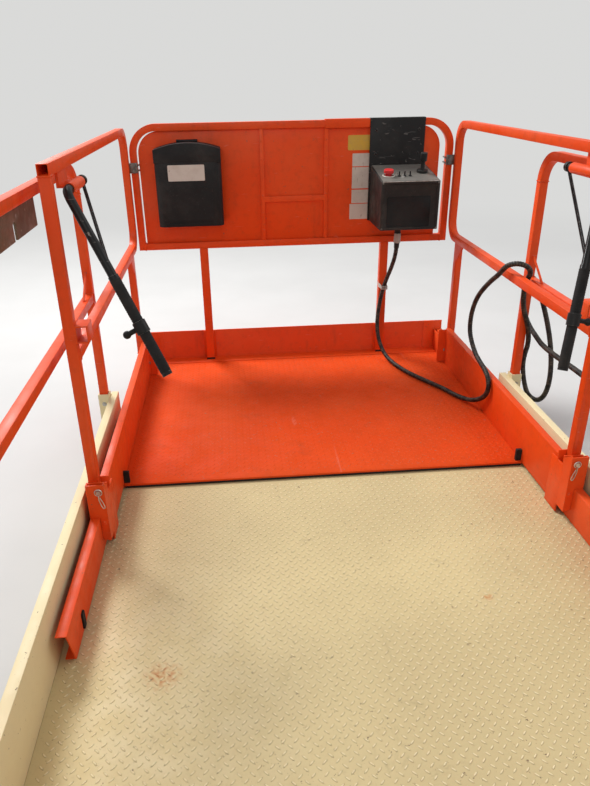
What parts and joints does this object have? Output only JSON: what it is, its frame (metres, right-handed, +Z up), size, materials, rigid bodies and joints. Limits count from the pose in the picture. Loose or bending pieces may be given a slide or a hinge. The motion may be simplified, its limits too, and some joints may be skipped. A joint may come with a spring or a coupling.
{
  "type": "scissor lift work platform with roll-out deck extension",
  "caption": "Guard-railed tread-plate work platform of a scissor lift with a roll-out deck extension, control box, document box, push handles and rear gate.",
  "frame": {"origin": "centre of the platform's footprint, on the plane under its track channels", "axes": "+Y forward, towards the extension; +X to the right; +Z up"},
  "size_m": [1.7492, 3.53, 1.264],
  "materials": {
    "cream_paint": "weathered cream enamel on tread plate and folded sheet",
    "orange_paint": "weathered orange-red enamel",
    "grey_plastic": "moulded",
    "cable_sheath": "corrugated loom sheath",
    "dark_steel": "dark brown, worn bare along its edges",
    "roller_nylon": "turned nylon",
    "black_rubber": "extruded rubber",
    "zinc": "zinc plated, dulled",
    "black_plastic": "moulded, fine grained",
    "red_plastic": "moulded, glossy",
    "black_steel": "scratched black enamel"
  },
  "bodies": {
    "platform": {"cross_members": "cream_paint", "deck_plate": "cream_paint", "rear_toe_boards": "cream_paint", "rear_rails": "orange_paint", "gate_posts": "orange_paint", "feed_gland": "grey_plastic", "feed_cable": "cable_sheath", "left_track_channel": "cream_paint", "right_track_channel": "cream_paint", "left_toe_board": "cream_paint", "right_toe_board": "cream_paint", "left_top_rail": "orange_paint", "right_top_rail": "orange_paint", "left_rail_posts": "orange_paint", "right_rail_posts": "orange_paint", "left_mid_rails": "orange_paint", "right_mid_rails": "orange_paint", "left_rail_sockets": "cream_paint", "right_rail_sockets": "cream_paint", "left_lock_rack": "dark_steel", "right_lock_rack": "dark_steel", "left_track_rollers": "roller_nylon", "right_track_rollers": "roller_nylon"},
    "extension": {"extension_deck": "orange_paint", "deck_edge_strip": "black_rubber", "front_toe_board": "orange_paint", "side_front_posts": "orange_paint", "front_hoop": "orange_paint", "front_bar": "orange_paint", "front_posts": "orange_paint", "front_panel": "orange_paint", "panel_ribs": "orange_paint", "rail_clamps": "zinc", "document_box": "black_plastic", "control_box": "grey_plastic", "control_switches": "black_plastic", "stop_button": "red_plastic", "control_guard": "black_steel", "cable_gland": "grey_plastic", "control_cable": "cable_sheath", "cable_loop": "cable_sheath", "left_side_channel": "orange_paint", "right_side_channel": "orange_paint", "left_side_toe": "orange_paint", "right_side_toe": "orange_paint", "left_post_bracket": "orange_paint", "right_post_bracket": "orange_paint", "left_extension_post": "orange_paint", "right_extension_post": "orange_paint", "left_extension_rail": "orange_paint", "right_extension_rail": "orange_paint", "left_handle_sleeve": "orange_paint", "right_handle_sleeve": "orange_paint"},
    "gate": {"gate_frame": "orange_paint", "gate_toe_plate": "orange_paint"},
    "document_lid": {"document_lid": "black_plastic"},
    "left_handle": {"left_push_handle": "black_steel"},
    "right_handle": {"right_push_handle": "black_steel"}
  },
  "joints": [
    {"name": "deck_slide", "type": "slide", "parent": "platform", "child": "extension", "axis": [0, 1, 0], "range_m": [-0.73, 0], "deforming": ["cable_loop"]},
    {"name": "gate_swing", "type": "hinge", "parent": "platform", "child": "gate", "pos_m": [-0.3395, -1.717, 0.4], "axis": [0, 0, 1], "range_deg": [0, 90]},
    {"name": "lid_swing", "type": "hinge", "parent": "extension", "child": "document_lid", "pos_m": [-0.473, 1.7251, 1.1875], "axis": [1, 0, 0], "range_deg": [-85, 0]},
    {"name": "left_handle_swing", "type": "hinge", "parent": "extension", "child": "left_handle", "pos_m": [-0.714, 0.49, 1.175], "axis": [0, 1, 0], "range_deg": [-33.5, 21.5]},
    {"name": "right_handle_swing", "type": "hinge", "parent": "extension", "child": "right_handle", "pos_m": [0.714, 0.49, 1.175], "axis": [0, 1, 0], "range_deg": [-7, 48]}
  ]
}
